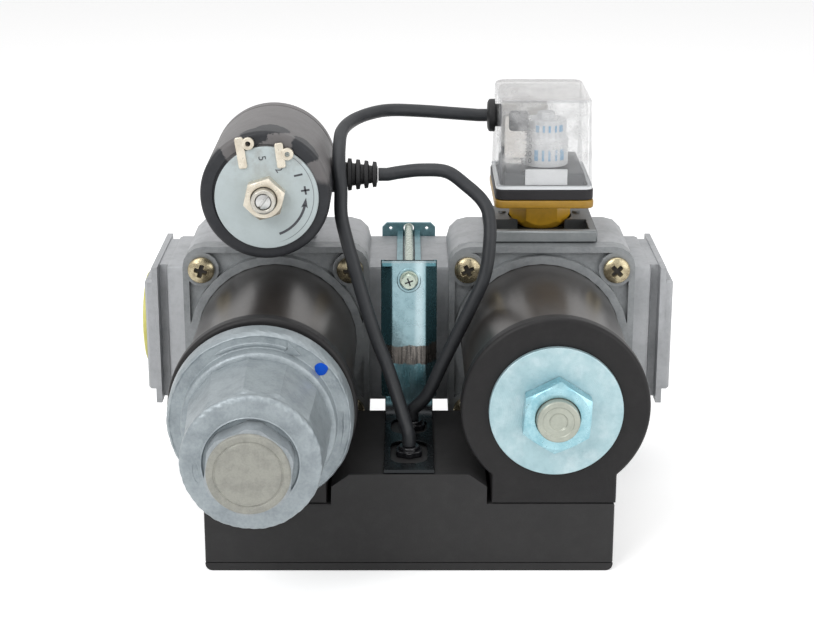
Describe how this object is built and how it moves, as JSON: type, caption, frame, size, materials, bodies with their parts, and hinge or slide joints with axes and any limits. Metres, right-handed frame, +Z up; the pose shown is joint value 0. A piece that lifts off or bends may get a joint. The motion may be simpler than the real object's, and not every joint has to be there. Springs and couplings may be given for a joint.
{
  "type": "double solenoid valve",
  "caption": "Two coil-operated shut-off valves in one die-cast body, with a damper, a pilot solenoid, a pressure switch and a terminal box.",
  "frame": {"origin": "centre of the underside of the terminal box", "axes": "+X along the pipe bore towards the open port, -Y the way the two coils face, +Z up"},
  "size_m": [0.2452, 0.2309, 0.181],
  "materials": {
    "alu": "cast, satin",
    "screw": "yellow passivated",
    "zinc": "zinc plated",
    "die_cast": "die cast, rough",
    "shell": "dark satin lacquer",
    "copper": "enamelled copper wire, drawn as solid",
    "steel": "turned",
    "spring": "wire",
    "brass": "turned",
    "black_plastic": "matt",
    "rubber": "matt",
    "label": "printed plate",
    "white_plastic": "satin",
    "grey_plastic": "satin",
    "mustard": "satin",
    "clear": "clear plastic, slightly scuffed",
    "yellow": "satin"
  },
  "bodies": {
    "valve": {"valve_body": "alu", "bonnet_left": "alu", "bonnet_right": "alu", "pilot_body": "alu", "switch_mount": "alu", "bonnet_screw_left_1": "screw", "bonnet_screw_left_2": "screw", "bonnet_screw_left_3": "screw", "bonnet_screw_left_4": "screw", "bonnet_screw_right_1": "screw", "bonnet_screw_right_2": "screw", "bonnet_screw_right_3": "screw", "bonnet_screw_right_4": "screw", "clamp_bolt": "screw", "clamp_washer": "screw", "coil_washer": "zinc", "coil_nut": "zinc", "front_bracket": "zinc", "rear_bracket": "zinc", "coil_shell_left": "shell", "coil_shell_right": "shell", "coil_winding_left": "copper", "coil_winding_right": "copper", "core_tube_left": "steel", "core_tube_right": "steel", "return_spring_left": "spring", "return_spring_right": "spring", "pilot_spring": "spring", "pilot_sleeve": "brass", "pilot_nut": "brass", "coil_housing_left": "black_plastic", "coil_housing_right": "black_plastic", "terminal_box": "black_plastic", "box_cover": "black_plastic", "gland_front": "black_plastic", "gland_rear": "black_plastic", "pilot_coil": "black_plastic", "lead_boot": "rubber", "lead_pilot": "rubber", "lead_switch": "rubber", "switch_gasket": "rubber", "switch_grommet": "rubber", "pilot_disc": "label", "terminal_strip": "white_plastic", "switch_frame": "grey_plastic", "switch_base": "mustard", "switch_cover": "clear", "port_plug": "yellow"},
    "armature_left": {"armature_left": "steel", "valve_disc_left": "steel", "disc_seal_left": "rubber", "damper_piston": "brass"},
    "armature_right": {"armature_right": "steel", "valve_disc_right": "steel", "disc_seal_right": "rubber"},
    "pilot_armature": {"pilot_armature": "steel"},
    "damper": {"damper_housing": "die_cast", "damper_cap": "die_cast"},
    "regulator": {"regulator_screw": "steel"},
    "dial": {"switch_dial": "white_plastic"}
  },
  "joints": [
    {"name": "armature_left_slide", "type": "slide", "parent": "valve", "child": "armature_left", "axis": [0, -1, 0], "range_m": [0, 0.008], "stiffness_N_per_m": 600, "springref_m": -0.012, "deforming": ["return_spring_left"]},
    {"name": "armature_right_slide", "type": "slide", "parent": "valve", "child": "armature_right", "axis": [0, -1, 0], "range_m": [0, 0.008], "stiffness_N_per_m": 600, "springref_m": -0.012, "deforming": ["return_spring_right"]},
    {"name": "pilot_armature_slide", "type": "slide", "parent": "valve", "child": "pilot_armature", "axis": [0, -1, 0], "range_m": [0, 0.002], "stiffness_N_per_m": 300, "springref_m": -0.003, "deforming": ["pilot_spring"]},
    {"name": "damper_turn", "type": "hinge", "parent": "valve", "child": "damper", "pos_m": [-0.06, -0.075, 0.072], "axis": [0, -1, 0], "range_deg": [-180, 180]},
    {"name": "regulator_turn", "type": "hinge", "parent": "valve", "child": "regulator", "pos_m": [-0.06, -0.013, 0.1519], "axis": [0, -1, 0], "range_deg": [-180, 180]},
    {"name": "dial_turn", "type": "hinge", "parent": "valve", "child": "dial", "pos_m": [0.0626, 0.076, 0.16], "axis": [0, 0, 1], "range_deg": [-135, 135]}
  ]
}
